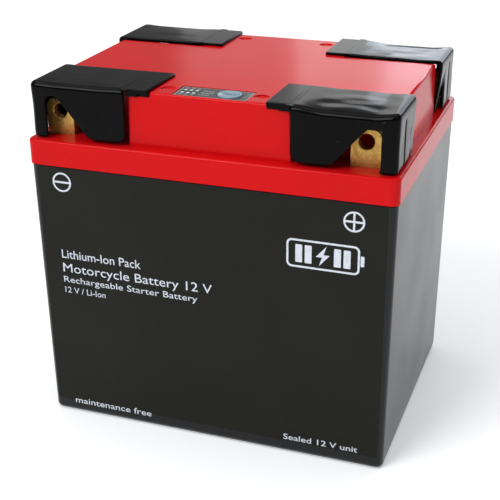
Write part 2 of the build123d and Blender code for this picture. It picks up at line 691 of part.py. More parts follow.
with BuildPart() as balance_resistors:
    with BuildSketch(Plane.XY.offset(balance_top)):
        for x in cell_x:
            with Locations(*[(x + dx, -7) for dx in (-6, -2, 2, 6)]):
                Rectangle(RESISTOR[0], RESISTOR[1])
    extrude(amount=RESISTOR[2])
save(balance_resistors, "balance_resistors")

with BuildPart() as flex_socket:
    with BuildSketch(Plane.XY.offset(balance_top)):
        with Locations((0, FLEX_Y[0])):
            Rectangle(SOCKET[0], SOCKET[1])
            Rectangle(SOCKET_SLIT[0], SOCKET_SLIT[1], mode=Mode.SUBTRACT)
    extrude(amount=SOCKET[2])
save(flex_socket, "flex_socket")

with BuildPart() as flex_cable:
    with BuildSketch(Plane.YZ.offset(-FLEX_WIDTH / 2)):
        with BuildLine():
            route = FilletPolyline(
                (FLEX_Y[0], balance_top + 0.4),
                (FLEX_Y[0], FLEX_TOP),
                (FLEX_Y[1], FLEX_TOP),
                (FLEX_Y[1], BOARD_Z - FLEX_THICK / 2),
                radius=FLEX_BEND,
            )
            offset(route, amount=FLEX_THICK / 2)
        make_face()
    extrude(amount=FLEX_WIDTH)
save(flex_cable, "flex_cable")

with BuildPart() as sense_strips:
    with BuildSketch(Plane.XY.offset(LINK_Z + LINK_THICK)):
        taps = [(x, side) for x, side in link_posts] + [(cell_x[0], -1), (cell_x[3], -1)]
        with Locations(*[(x, side * STRIP_Y) for x, side in taps]):
            Rectangle(STRIP_WIDTH, STRIP_LENGTH)
    extrude(amount=STRIP_THICK)
save(sense_strips, "sense_strips")

# ---- Foam that holds the pack in the case ----
foam_height = CELL_Z1 - CELL_Z0 - 4
side_foam_x = stack_x + FOAM_GAP
end_foam_y = CELL_WIDTH / 2 + FOAM_GAP
for name, sx in (("foam_left", -1), ("foam_right", 1)):
    with BuildPart() as foam:
        with BuildSketch(Plane.XY.offset(CELL_Z0)):
            with Locations((sx * (side_foam_x + FOAM_X) / 2, 0)):
                Rectangle(FOAM_X - side_foam_x, FOAM_SIDE_WIDTH)
        extrude(amount=foam_height)
    save(foam, name)

for name, sy in (("foam_front", -1), ("foam_rear", 1)):
    with BuildPart() as foam:
        with BuildSketch(Plane.XY.offset(CELL_Z0)):
            with Locations((0, sy * (end_foam_y + FOAM_Y) / 2)):
                Rectangle(2 * stack_x - 1, FOAM_Y - end_foam_y)
            with Locations((-SCREW_X, sy * (SCREW_Y + POST_RADIUS)), (SCREW_X, sy * (SCREW_Y + POST_RADIUS))):
                Rectangle(2 * POST_RADIUS + 0.6, 19, mode=Mode.SUBTRACT)
        extrude(amount=foam_height)
    save(foam, name)

with BuildPart() as foam_base:
    with BuildSketch(Plane.XY.offset(CASE_FLOOR)):
        RectangleRounded(2 * stack_x, CELL_WIDTH, 2)
    extrude(amount=CELL_Z0 - CASE_FLOOR)
save(foam_base, "foam_base")
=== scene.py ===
"""Looks of a sealed lithium motorcycle battery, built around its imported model."""

import json
import math

import bmesh
import bpy
from mathutils import Matrix, Vector, noise


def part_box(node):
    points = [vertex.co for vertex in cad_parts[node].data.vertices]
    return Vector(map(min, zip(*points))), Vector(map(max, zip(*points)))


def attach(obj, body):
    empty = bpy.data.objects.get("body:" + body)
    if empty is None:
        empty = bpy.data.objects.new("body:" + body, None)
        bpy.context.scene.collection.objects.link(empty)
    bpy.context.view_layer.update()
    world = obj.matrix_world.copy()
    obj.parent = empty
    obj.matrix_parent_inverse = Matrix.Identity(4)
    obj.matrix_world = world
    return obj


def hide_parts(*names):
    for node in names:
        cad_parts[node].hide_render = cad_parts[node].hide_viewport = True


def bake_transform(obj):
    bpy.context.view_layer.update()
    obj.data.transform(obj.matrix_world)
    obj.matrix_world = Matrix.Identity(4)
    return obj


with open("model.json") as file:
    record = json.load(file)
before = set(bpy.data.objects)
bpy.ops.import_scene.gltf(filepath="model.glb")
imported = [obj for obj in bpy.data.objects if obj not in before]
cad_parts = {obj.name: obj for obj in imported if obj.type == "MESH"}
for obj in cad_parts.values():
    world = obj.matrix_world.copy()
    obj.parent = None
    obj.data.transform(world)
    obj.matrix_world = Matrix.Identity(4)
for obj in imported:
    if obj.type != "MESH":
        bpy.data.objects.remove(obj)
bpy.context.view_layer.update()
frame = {"nodes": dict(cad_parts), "record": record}

MM = 0.001
CORNERS = {"front_right": (1, -1), "front_left": (-1, -1), "rear_right": (1, 1), "rear_left": (-1, 1)}


# ---------------------------------------------------------------- finishes

class Finish:
    """A material's node tree, with the few steps that every finish here is made of."""

    def __init__(self, name, colour, roughness, metallic=0.0, level=0.5, coat=0.0):
        self.material = bpy.data.materials.new(name)
        self.material.use_nodes = True
        self.nodes = self.material.node_tree.nodes
        self.links = self.material.node_tree.links
        self.shader = self.nodes["Principled BSDF"]
        self.shader.inputs["Base Color"].default_value = (*colour, 1.0)
        self.shader.inputs["Roughness"].default_value = roughness
        self.shader.inputs["Metallic"].default_value = metallic
        self.shader.inputs["Specular IOR Level"].default_value = level
        self.shader.inputs["Coat Weight"].default_value = coat
        self.shader.inputs["Coat Roughness"].default_value = 0.06
        self.place = self.nodes.new("ShaderNodeTexCoord").outputs["Object"]
        self.base = (*colour, 1.0)
        self.colour = None
        self.normal = None

    def stretched(self, scale):
        """Object coordinates stretched along an axis, for grain, scratches and brushing."""
        mapping = self.nodes.new("ShaderNodeMapping")
        mapping.inputs["Scale"].default_value = scale
        self.links.new(self.place, mapping.inputs["Vector"])
        return mapping.outputs["Vector"]

    def noise(self, scale, detail=2.0, place=None):
        made = self.nodes.new("ShaderNodeTexNoise")
        made.inputs["Scale"].default_value = scale
        made.inputs["Detail"].default_value = detail
        self.links.new(place or self.place, made.inputs["Vector"])
        return made.outputs["Fac"]

    def cells(self, scale, place=None):
        made = self.nodes.new("ShaderNodeTexVoronoi")
        made.inputs["Scale"].default_value = scale
        self.links.new(place or self.place, made.inputs["Vector"])
        return made.outputs["Distance"]

    def ramp(self, source, span, into=(0.0, 1.0)):
        made = self.nodes.new("ShaderNodeMapRange")
        for socket, value in zip(("From Min", "From Max", "To Min", "To Max"), (*span, *into)):
            made.inputs[socket].default_value = value
        self.links.new(source, made.inputs["Value"])
        return made.outputs["Result"]

    def roughen(self, source, low, high, span=(0.35, 0.65)):
        self.links.new(self.ramp(source, span, (low, high)), self.shader.inputs["Roughness"])
        return self

    def tint(self, source, other, span=(0.35, 0.65)):
        """Mix another colour in where the source is high."""
        mix = self.nodes.new("ShaderNodeMix")
        mix.data_type = "RGBA"
        mix.inputs[6].default_value = self.base
        mix.inputs[7].default_value = (*other, 1.0)
        if self.colour is not None:
            self.links.new(self.colour, mix.inputs[6])
        self.links.new(self.ramp(source, span), mix.inputs[0])
        self.colour = mix.outputs[2]
        self.links.new(self.colour, self.shader.inputs["Base Color"])
        return self

    def bump(self, source, depth, strength=1.0):
        made = self.nodes.new("ShaderNodeBump")
        made.inputs["Strength"].default_value = strength
        made.inputs["Distance"].default_value = depth
        self.links.new(source, made.inputs["Height"])
        if self.normal is not None:
            self.links.new(self.normal, made.inputs["Normal"])
        self.normal = made.outputs["Normal"]
        self.links.new(self.normal, self.shader.inputs["Normal"])
        return self


def moulded(name, colour, other, roughness, level, sag):
    """Glossy moulded plastic: slow sink waves, orange peel, handling smudges and a few dust specks."""
    made = Finish(name, colour, roughness, level=level)
    made.tint(made.noise(38, 3), other, (0.4, 0.8))
    made.tint(made.cells(410), (0.5, 0.47, 0.45), (0.03, 0.015))
    made.roughen(made.noise(26, 5), roughness * 0.92, roughness * 1.12)
    made.bump(made.noise(17, 1.0), sag)
    made.bump(made.noise(1400, 2), 0.00002, 0.25)
    made.bump(made.cells(90, made.stretched((1, 1, 0.15))), 0.00001, 0.1)
    return made.material


def film(name, colour, roughness, level):
    """Printed film: a fine satin grain and faint rubbed streaks."""
    made = Finish(name, colour, roughness, level=level)
    made.tint(made.noise(30, 4), tuple(c * 1.25 for c in colour), (0.35, 0.75))
    made.roughen(made.noise(70, 4, made.stretched((1, 1, 5))), roughness * 0.85, roughness * 1.25)
    made.bump(made.noise(2600, 2), 0.00001, 0.3)
    made.bump(made.noise(14, 1), 0.0002, 0.5)
    return made.material


def ink(name, colour):
    """Screen-printed ink, slightly uneven in cover."""
    made = Finish(name, colour, 0.45, level=0.3)
    made.tint(made.noise(900, 3), tuple(c * 0.78 for c in colour), (0.45, 0.75))
    made.bump(made.noise(3000, 2), 0.00001, 0.3)
    return made.material


def metal(name, colour, worn, roughness, grain, metallic=1.0):
    """Worked metal: a directional grain, tarnish clouds and fine pits."""
    made = Finish(name, colour, roughness, metallic=metallic)
    made.tint(made.noise(180, 4), worn, (0.4, 0.75))
    made.roughen(made.noise(420, 4, made.stretched(grain)), roughness * 0.7, roughness * 1.5)
    made.bump(made.noise(900, 3, made.stretched(grain)), 0.00001, 0.3)
    made.bump(made.cells(1500), 0.00002, 0.2)
    return made.material


def board(name, colour):
    """Circuit board: solder mask over faint copper traces, with the glass cloth just showing."""
    made = Finish(name, colour, 0.32, level=0.5, coat=0.4)
    made.tint(made.cells(240, made.stretched((1, 0.25, 1))), tuple(c * 1.9 for c in colour), (0.35, 0.5))
    made.bump(made.noise(1800, 2, made.stretched((1, 1, 0.1))), 0.00002, 0.3)
    return made.material


def soft(name, colour, other, scale, depth, roughness=0.9):
    """Cellular or woven soft goods: open pores or threads in a matt body."""
    made = Finish(name, colour, roughness, level=0.2)
    made.tint(made.cells(scale), other, (0.1, 0.6))
    made.tint(made.noise(60, 3), tuple(c * 0.7 for c in colour), (0.45, 0.8))
    made.bump(made.cells(scale), depth, 0.7)
    return made.material


lid_red = moulded("lid_red", (0.6, 0.0042, 0.006), (0.55, 0.0055, 0.008), 0.16, 0.085, 0.0004)
case_black = moulded("case_black", (0.0055, 0.0058, 0.0066), (0.007, 0.0075, 0.0085), 0.24, 0.26, 0.00002)
flap_black = moulded("flap_black", (0.0009, 0.0009, 0.001), (0.0018, 0.0018, 0.0019), 0.13, 0.075, 0.0006)
FINISHES = {
    "lid_red": lid_red,
    "case_black": case_black,
    "flap_black": flap_black,
    "label_film": film("label_film", (0.0058, 0.0059, 0.0036), 0.26, 0.16),
    "indicator_film": film("indicator_film", (0.042, 0.05, 0.05), 0.3, 0.2),
    "button_blue": film("button_blue", (0.2, 0.3, 0.37), 0.2, 0.4),
    "gasket_rubber": soft("gasket_rubber", (0.006, 0.006, 0.006), (0.014, 0.014, 0.014), 900, 0.00003, 0.7),
    "component_black": moulded(
        "component_black", (0.012, 0.012, 0.013), (0.02, 0.02, 0.022), 0.45, 0.4, 0.00002),
    "component_white": moulded("component_white", (0.75, 0.74, 0.7), (0.66, 0.65, 0.6), 0.35, 0.5, 0.00002),
    "board_green": board("board_green", (0.008, 0.075, 0.028)),
    "screw_steel": metal("screw_steel", (0.62, 0.62, 0.6), (0.42, 0.41, 0.38), 0.24, (1, 1, 8)),
    "lens_clear": film("lens_clear", (0.62, 0.66, 0.66), 0.1, 0.5),
    "cell_wrap": film("cell_wrap", (0.02, 0.09, 0.26), 0.28, 0.5),
    "vent_foil": metal("vent_foil", (0.75, 0.75, 0.76), (0.6, 0.6, 0.6), 0.2, (1, 6, 1)),
    "link_aluminium": metal("link_aluminium", (0.78, 0.78, 0.79), (0.6, 0.6, 0.6), 0.3, (0.2, 6, 1)),
    "bus_copper": metal("bus_copper", (0.85, 0.42, 0.26), (0.5, 0.21, 0.12), 0.28, (6, 0.2, 1)),
    "terminal_brass": metal(
        "terminal_brass", (0.56, 0.34, 0.09), (0.44, 0.25, 0.06), 0.34, (2, 2, 0.8), metallic=0.72),
    "band_tape": soft("band_tape", (0.55, 0.36, 0.06), (0.42, 0.26, 0.04), 1500, 0.00002, 0.5),
    "foam_grey": soft("foam_grey", (0.08, 0.08, 0.085), (0.03, 0.03, 0.032), 1100, 0.0003),
}
print_white = ink("print_white", (0.66, 0.7, 0.78))
print_grey = ink("print_grey", (0.5, 0.51, 0.5))
print_blue = ink("print_blue", (0.02, 0.045, 0.09))
for entry in frame["record"]["subparts"]:
    frame["nodes"][entry["node"]].material_slots[0].material = FINISHES[entry["material_slot"]]


# ---------------------------------------------------------------- shaping helpers, in millimetres

def span(node):
    """Lowest and highest corner of a CAD node, in millimetres."""
    low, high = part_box(node)
    return low / MM, high / MM


def flatten(mesh, close):
    """Let a large flat face set the normals at its rim, so that the rounds beside it run into it."""
    around = {}
    for face in mesh.polygons:
        for vertex in face.vertices:
            around.setdefault(vertex, []).append(face)
    normals = [corner.vector.copy() for corner in mesh.corner_normals]
    for face in mesh.polygons:
        for loop in face.loop_indices:
            beside = [f for f in around[mesh.loops[loop].vertex_index] if f.normal.dot(face.normal) > close]
            beside.sort(key=lambda f: f.area, reverse=True)
            if len(beside) == 1 or beside[0].area > 4 * beside[1].area:
                normals[loop] = beside[0].normal.copy()
    mesh.normals_split_custom_set(normals)


def piece_from(name, bm, material, sharp=32, flat_rims=True):
    """A visible piece from a mesh drawn in millimetres, smooth but for its sharp edges."""
    bmesh.ops.scale(bm, vec=(MM, MM, MM), verts=bm.verts)
    mesh = bpy.data.meshes.new(name)
    bm.to_mesh(mesh)
    bm.free()
    mesh.shade_smooth()
    mesh.set_sharp_from_angle(angle=math.radians(sharp))
    mesh.materials.append(material)
    made = bpy.data.objects.new(name, mesh)
    bpy.context.scene.collection.objects.link(made)
    if flat_rims:
        flatten(mesh, math.cos(math.radians(sharp)))
    return made


def settle(made, body, slot, *nodes):
    """Fix a finished piece to its body and hide the CAD nodes that it stands for; its slot argument is not
    used.
    """
    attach(made, body)
    if nodes:
        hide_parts(*nodes)
    return made


def baked(made):
    """Turn a piece's modifiers into plain mesh."""
    depsgraph = bpy.context.evaluated_depsgraph_get()
    mesh = bpy.data.meshes.new_from_object(made.evaluated_get(depsgraph))
    mesh.name = made.name
    made.modifiers.clear()
    made.data = mesh
    return made


def drawn_from(node):
    """A CAD node's shape in millimetres, merged, with its flat faces made whole."""
    bm = bmesh.new()
    bm.from_mesh(frame["nodes"][node].data)
    bmesh.ops.scale(bm, vec=(1 / MM,) * 3, verts=bm.verts)
    bmesh.ops.remove_doubles(bm, verts=bm.verts, dist=0.002)
    bmesh.ops.dissolve_limit(bm, angle_limit=math.radians(0.6), verts=bm.verts, edges=bm.edges)
    return bm


def soften(bm, width, chosen, steps=3, least=35):
    """Round the chosen edges that turn by more than a least angle."""
    picked = [
        e for e in bm.edges
        if len(e.link_faces) == 2 and e.calc_face_angle(0) > math.radians(least) and chosen(e)
    ]
    bmesh.ops.bevel(
        bm, geom=picked, offset=width, segments=steps, profile=0.5, affect="EDGES", clamp_overlap=True
    )


def rounded(x0, x1, y0, y1, radius, steps=6):
    """Outline of a rectangle with rounded corners."""
    centres = ((x1 - radius, y1 - radius), (x0 + radius, y1 - radius), (x0 + radius, y0 + radius),
               (x1 - radius, y0 + radius))
    return [
        (cx + radius * math.cos(math.radians(90 * (k + i / steps))),
         cy + radius * math.sin(math.radians(90 * (k + i / steps))))
        for k, (cx, cy) in enumerate(centres) for i in range(steps + 1)
    ]


def prism(bm, outline, base, top, soft_edge=0.0):
    """Add a solid that stands on a flat outline, with its upper rim rounded."""
    foot = bm.faces.new([bm.verts.new((x, y, base)) for x, y in outline])
    grown = bmesh.ops.extrude_face_region(bm, geom=[foot])["geom"]
    crown = [v for v in grown if isinstance(v, bmesh.types.BMVert)]
    for v in crown:
        v.co.z = top
    if soft_edge:
        marked = set(crown)
        rim = [e for e in bm.edges if e.verts[0] in marked and e.verts[1] in marked]
        bmesh.ops.bevel(bm, geom=rim, offset=soft_edge, segments=3, profile=0.5, affect="EDGES")
    bmesh.ops.recalc_face_normals(bm, faces=bm.faces)
    return bm


def turned(profile, steps=48):
    """A solid of revolution on the Z axis, from (radius, height) points that end on the axis."""
    bm = bmesh.new()
    rings = []
    for radius, height in profile:
        if radius == 0:
            rings.append([bm.verts.new((0, 0, height))])
            continue
        angles = [2 * math.pi * k / steps for k in range(steps)]
        rings.append([bm.verts.new((radius * math.cos(a), radius * math.sin(a), height)) for a in angles])
    for lower, upper in zip(rings, rings[1:]):
        for k in range(steps):
            j = (k + 1) % steps
            patch = [line[at % len(line)] for line, at in ((lower, k), (lower, j), (upper, j), (upper, k))]
            bm.faces.new(list(dict.fromkeys(patch)))
    bmesh.ops.recalc_face_normals(bm, faces=bm.faces)
    return bm


def stood_out(name, pattern, spots, material, turn=0.0, size=1.0, seed=1):
    """Copies of a pattern on the given spots in millimetres, laid out by a node tree, as one plain mesh."""
    mesh = bpy.data.meshes.new(name)
    mesh.from_pydata([Vector(spot) * MM for spot in spots], [], [])
    made = bpy.data.objects.new(name, mesh)
    bpy.context.scene.collection.objects.link(made)
    tree = bpy.data.node_groups.new(name + "_layout", "GeometryNodeTree")
    tree.interface.new_socket("Geometry", in_out="INPUT", socket_type="NodeSocketGeometry")
    tree.interface.new_socket("Geometry", in_out="OUTPUT", socket_type="NodeSocketGeometry")
    kinds = {"Pattern": "Object", "Size": "Float", "Turn": "Float", "Seed": "Int", "Finish": "Material"}
    sockets = {
        word: tree.interface.new_socket(word, in_out="INPUT", socket_type="NodeSocket" + kind)
        for word, kind in kinds.items()
    }
    group_in = tree.nodes.new("NodeGroupInput")
    group_out = tree.nodes.new("NodeGroupOutput")
    source = tree.nodes.new("GeometryNodeObjectInfo")
    place = tree.nodes.new("GeometryNodeInstanceOnPoints")
    spin = tree.nodes.new("FunctionNodeRandomValue")
    spin.data_type = "FLOAT"
    upright = tree.nodes.new("ShaderNodeCombineXYZ")
    realize = tree.nodes.new("GeometryNodeRealizeInstances")
    paint = tree.nodes.new("GeometryNodeSetMaterial")
    join = tree.links.new
    join(group_in.outputs["Geometry"], place.inputs["Points"])
    join(group_in.outputs["Pattern"], source.inputs["Object"])
    join(source.outputs["Geometry"], place.inputs["Instance"])
    join(group_in.outputs["Size"], place.inputs["Scale"])
    join(group_in.outputs["Turn"], spin.inputs[3])
    join(group_in.outputs["Seed"], spin.inputs["Seed"])
    join(spin.outputs[1], upright.inputs["Z"])
    join(upright.outputs["Vector"], place.inputs["Rotation"])
    join(place.outputs["Instances"], realize.inputs["Geometry"])
    join(realize.outputs["Geometry"], paint.inputs["Geometry"])
    join(group_in.outputs["Finish"], paint.inputs["Material"])
    join(paint.outputs["Geometry"], group_out.inputs["Geometry"])
    layout = made.modifiers.new("layout", "NODES")
    layout.node_group = tree
    values = {"Pattern": pattern, "Size": size, "Turn": turn, "Seed": seed, "Finish": material}
    for word, value in values.items():
        layout[sockets[word].identifier] = value
    baked(made)
    bpy.data.objects.remove(pattern)
    return made


# ---------------------------------------------------------------- case and lid

DECK = span("lid")[1].z
BAY_FLOOR = span("flap_front_right")[0].z - 0.6
SCREW_X = 20.8
SCREW_Y = 48.0


def case_shell():
    """The case, with the rim of its moulding softened."""
    bm = drawn_from("case")
    rim = span("case")[1].z
    soften(bm, 0.3, lambda e: min(v.co.z for v in e.verts) > rim - 0.01 and e.calc_length() > 0.5)
    return settle(piece_from("case_shell", bm, case_black), "root", "case_black", "case")


def plateau_post(edge):
    """An upright outer edge of the lid's plateau."""
    a, b = (v.co for v in edge.verts)
    return abs(a.z - b.z) > 10 and min(a.z, b.z) > BAY_FLOOR - 0.5 and (abs(a.x) > 35.5 or abs(a.y) > 56.5)


def deck_edge(edge):
    """A level edge of the recess or of a notch in the plateau's top."""
    a, b = (v.co for v in edge.verts)
    return abs(a.z - b.z) < 0.01 and DECK - 0.01 < a.z and edge.calc_length() > 1.5


def lid_shell():
    """The stepped lid, with the outer edges of its plateau and its recess softened."""
    bm = drawn_from("lid")
    soften(bm, 0.6, plateau_post, steps=4)
    soften(bm, 0.15, deck_edge, steps=2)
    return settle(piece_from("lid_shell", bm, lid_red), "root", "lid_red", "lid")


def screw_plugs():
    """Shallow dished plugs over the four lid screws."""
    low, high = span("screw_plugs")
    radius = (high.x - low.x) / 2 - SCREW_X
    profile = (
        (0, low.z), (radius - 0.2, low.z), (radius, low.z + 0.2), (radius, high.z - 0.25),
        (radius - 0.25, high.z), (radius - 0.55, high.z), (radius - 0.85, high.z - 0.3),
        (0.9, high.z - 0.42), (0, high.z - 0.44),
    )
    pattern = piece_from("plug_pattern", turned(profile), lid_red, flat_rims=False)
    spots = [(sx * SCREW_X, sy * SCREW_Y, 0) for sx, sy in CORNERS.values()]
    made = stood_out("screw_plugs_dished", pattern, spots, lid_red, turn=math.pi, seed=4)
    return settle(made, "root", "lid_red", "screw_plugs")


# ---------------------------------------------------------------- terminals

def terminal(corner):
    """A brass terminal with its sheared edges broken."""
    node = "terminal_" + corner
    bm = drawn_from(node)
    soften(bm, 0.35, lambda e: min(v.co.z for v in e.verts) > BAY_FLOOR, least=60)
    made = piece_from("brass_" + corner, bm, FINISHES["terminal_brass"])
    return settle(made, "root", "terminal_brass", node)


# ---------------------------------------------------------------- flaps, tabs and hinge webs

HINGE_X = 36.5
SLITS = ((37.0, 1.0), (48.0, 1.6))
SLIT_TOP = 158.5
SLIT_LENGTH = 20
END_WALL = 78.5          # where a flap's end wall starts, from the battery's middle
SKIRT = 57.5             # where its skirt starts
HEM = 152                # below this height its walls hang freely
VOXEL = 0.4
# How far each flap's roof dips, its slits are pinched shut, its end wall leans in and its mouth narrows.
WAVE = {"front_right": 0.9, "front_left": 0.3, "rear_right": 0.9, "rear_left": 0.35}
CLOSED = {
    "front_right": (0.85, 0.75), "front_left": (0.6, 0.5),
    "rear_right": (0.3, 0.7), "rear_left": (0.5, 0.4),
}
LEAN = {"front_right": 0.5, "front_left": 0.4, "rear_right": 2.2, "rear_left": 0.8}
MOUTH = {"front_right": 0.0, "front_left": 0.0, "rear_right": 1.0, "rear_left": 1.0}


def ease(low, high, value):
    """A smooth step from 0 at low to 1 at high."""
    t = min(max((value - low) / (high - low), 0.0), 1.0)
    return t * t * (3 - 2 * t)


def swell(across, along, seed):
    """A slow wave from 0 to 1 over a soft moulding."""
    return 0.5 + 0.5 * noise.noise(Vector((across, along, seed)))


def warped(point, corner):
    """Where a point of a flap lies once its soft vinyl has settled, inside the outline it was moulded to."""
    sx, sy = CORNERS[corner]
    seed = 3.7 * sx + 9.1 * sy
    u, v, z = abs(point.x), abs(point.y), point.z
    in_skirt = ease(SKIRT, SKIRT + 2, v)
    in_wall = ease(END_WALL, END_WALL + 2, u)
    hang = ease(HEM + 10, HEM, z)
    below_slit = max(SLIT_TOP - z, 0) / SLIT_LENGTH

    roof = ease(HINGE_X + 1, HINGE_X + 14, u) * ease(END_WALL + 3, END_WALL - 8.5, u)
    slope = 0.9 * ease(38, 62, v) ** 2
    sag = WAVE[corner] * roof * (slope + 0.15 + 0.6 * swell(u / 12, v / 7, seed)) * ease(HEM - 2, HEM + 9, z)
    skirt = 0.55 * hang * in_skirt * swell(u / 11, z / 12, seed + 5)
    wall = 0.45 * hang * in_wall * swell(v / 9, z / 12, seed + 8)
    first_slit = SLITS[0][0]
    wall += LEAN[corner] * in_wall * ease(first_slit - 0.2, first_slit - 1.2, v) * below_slit ** 1.3

    pinch = 0.0
    for (slit, half), closed in zip(SLITS, CLOSED[corner]):
        gap = half * min(below_slit, 1.0)
        near = ease(6, 0.5, abs(v - slit))
        pinch += math.copysign(closed * gap * near, slit - v) * ease(END_WALL, END_WALL + 1, u)

    mouth = MOUTH[corner] * in_skirt
    beside_wall = ease(END_WALL - 6.5, END_WALL - 3, u) * ease(END_WALL + 0.5, END_WALL - 1.5, u)
    tuck = 1.6 * mouth * hang * beside_wall
    droop = 2.0 * mouth * ease(HEM - 2, HEM + 3, z) * ease(HEM + 9, HEM + 5, z)
    return Vector((sx * (u - wall - tuck), sy * (v - skirt + pinch), z - sag - droop))


def flap(corner):
    """A soft vinyl terminal flap: rounded everywhere, with a slightly wavy roof and settled skirts."""
    node = "flap_" + corner
    made = piece_from("cover_" + corner, drawn_from(node), flap_black, flat_rims=False)
    remesh = made.modifiers.new("remesh", "REMESH")
    remesh.mode = "VOXEL"
    remesh.voxel_size = VOXEL * MM
    relax = made.modifiers.new("relax", "SMOOTH")
    relax.factor = 0.5
    relax.iterations = 12
    baked(made)
    for vertex in made.data.vertices:
        vertex.co = warped(vertex.co / MM, corner) * MM
    made.data.shade_smooth()
    return settle(made, node, "flap_black", node)


TAB_FOOT = 159.9
TAB_LIP = 1.8
BLOCK_Y = 57.0


def flap_tab(corner):
    """The fixed end of a flap: a lipped pad bedded in its notch, with a lug under the lip by the crease."""
    node = "flap_tab_" + corner
    low, high = span(node)
    sx, sy = CORNERS[corner]
    lip = low.y if sy < 0 else high.y
    inner = high.y if sy < 0 else low.y
    bm = bmesh.new()
    prism(bm, rounded(low.x, high.x, low.y, high.y, 0.7, 4), high.z - TAB_LIP, high.z, 0.5)
    bed = sorted((sy * BLOCK_Y, inner))
    bed_outline = rounded(low.x + 0.05, high.x - 0.05, bed[0] + 0.05, bed[1] - 0.05, 0.3, 3)
    prism(bm, bed_outline, TAB_FOOT, high.z - 1)
    lug_y = sorted((lip - sy * 0.35, lip - sy * 1.6))
    lug_x = sorted((sx * (HINGE_X - 0.3), sx * (HINGE_X - 5.4)))
    prism(bm, rounded(*lug_x, *lug_y, 0.3, 3), high.z - TAB_LIP - 1.5, high.z - 1)
    return settle(piece_from("tab_" + corner, bm, flap_black), "root", "flap_black", node)


WEB_TOP = 0.08
WEB_THICK = 0.7
WEB_STATIONS = (-1.6, -0.9, -0.25, -0.17, -0.09, 0.0, 0.09, 0.17, 0.25, 0.9, 1.6)


def hinge_web(corner):
    """The thin skin under the crease that joins a tab to its flap, drawn flat and unfolded."""
    low, high = span("flap_" + corner)
    sx = CORNERS[corner][0]
    top = high.z - WEB_TOP
    bm = bmesh.new()
    rings = [
        [bm.verts.new((sx * (HINGE_X + step), y, z))
         for y, z in ((low.y + 0.6, top), (high.y - 0.6, top), (high.y - 0.6, top - WEB_THICK),
                      (low.y + 0.6, top - WEB_THICK))]
        for step in WEB_STATIONS
    ]
    for left, right in zip(rings, rings[1:]):
        for k in range(4):
            bm.faces.new((left[k], left[(k + 1) % 4], right[(k + 1) % 4], right[k]))
    bm.faces.new(rings[0])
    bm.faces.new(rings[-1])
    bmesh.ops.recalc_face_normals(bm, faces=bm.faces)
    made = piece_from("web_" + corner, bm, flap_black, flat_rims=False)
    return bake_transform(made)


# ---------------------------------------------------------------- front label and its print

DRAFT = 1.2
FILM_THICK = 0.15
PRINT_THICK = 0.03
POLE_SIGNS = ((65.2, 117.9, True), (-67.5, 119.2, False))      # across, up, positive
POLE_RADIUS = 4.55
POLE_STROKE = 0.9
# Each line's words, its left end, its width, its capital height and how far its strokes are thickened.
FRONT_LINES = (
    ("Lithium-Ion Pack", (-70.6, 82.3), 39.2, 4.4, 0.002),
    ("Motorcycle Battery 12 V", (-70.5, 75.3), 73, 4.6, 0.0),
    ("Rechargeable Starter Battery", (-70.6, 70.1), 66, 3.2, 0.0),
    ("12 V / Li-Ion", (-70.4, 64.8), 20.5, 3.1, 0.0),
    ("maintenance free", (-70, 5.2), 40, 3.3, 0.004),
    ("Sealed 12 V unit", (35.5, 7.2), 34.5, 3.0, 0.004),
)


def onto_front(bm):
    """Stand a flat drawing (across, up, out) on the drafted front of the label."""
    case_low, case_high = span("case")
    for v in bm.verts:
        across, up, out = v.co
        face = case_low.y + DRAFT * (1 - up / case_high.z)
        v.co = Vector((across, face - FILM_THICK - out, up))
    return bm


def ring(bm, outer, inner, base, top):
    """Add a flat band between two outlines of as many points."""
    loops = [[bm.verts.new((x, y, z)) for x, y in line] for line, z in
             ((outer, base), (outer, top), (inner, top), (inner, base))]
    for a, b in zip(loops, loops[1:] + loops[:1]):
        for k in range(len(a)):
            j = (k + 1) % len(a)
            bm.faces.new((a[k], a[j], b[j], b[k]))
    bmesh.ops.recalc_face_normals(bm, faces=bm.faces)


def words(bm, text, start, width, cap, base=0.0, heavy=0.0):
    """Add a line of plain lettering of a given width and capital height."""
    curve = bpy.data.curves.new("lettering", "FONT")
    curve.body = text
    curve.offset = heavy
    curve.extrude = 0.5
    curve.resolution_u = 3
    carrier = bpy.data.objects.new("lettering", curve)
    bpy.context.scene.collection.objects.link(carrier)
    depsgraph = bpy.context.evaluated_depsgraph_get()
    mesh = bpy.data.meshes.new_from_object(carrier.evaluated_get(depsgraph))
    bpy.data.objects.remove(carrier)
    left = min(v.co.x for v in mesh.vertices)
    wide = max(v.co.x for v in mesh.vertices) - left
    capital = 0.73
    for v in mesh.vertices:
        v.co = Vector((
            start[0] + (v.co.x - left) * width / wide,
            start[1] + v.co.y * cap / capital,
            base + (v.co.z + 0.5) * PRINT_THICK,
        ))
    before = set(bm.verts)
    bm.from_mesh(mesh)
    bmesh.ops.remove_doubles(bm, verts=[v for v in bm.verts if v not in before], dist=0.002)
    bpy.data.meshes.remove(mesh)


def circle(centre, radius, steps=48):
    """Outline of a circle."""
    angles = [2 * math.pi * k / steps for k in range(steps)]
    return [(centre[0] + radius * math.cos(a), centre[1] + radius * math.sin(a)) for a in angles]


def bar(bm, centre, length, height, base=0.0, top=PRINT_THICK):
    """Add a printed bar."""
    x, y = centre
    outline = rounded(x - length / 2, x + length / 2, y - height / 2, y + height / 2, height * 0.08, 2)
    prism(bm, outline, base, top)


def front_film():
    """The black film on the case's front."""
    low, high = span("front_label")
    bm = bmesh.new()
    prism(bm, rounded(low.x, high.x, low.z, high.z, 1.6, 8), -FILM_THICK, 0, 0.06)
    made = piece_from("front_film", onto_front(bm), FINISHES["label_film"])
    return settle(made, "root", "label_film", "front_label")


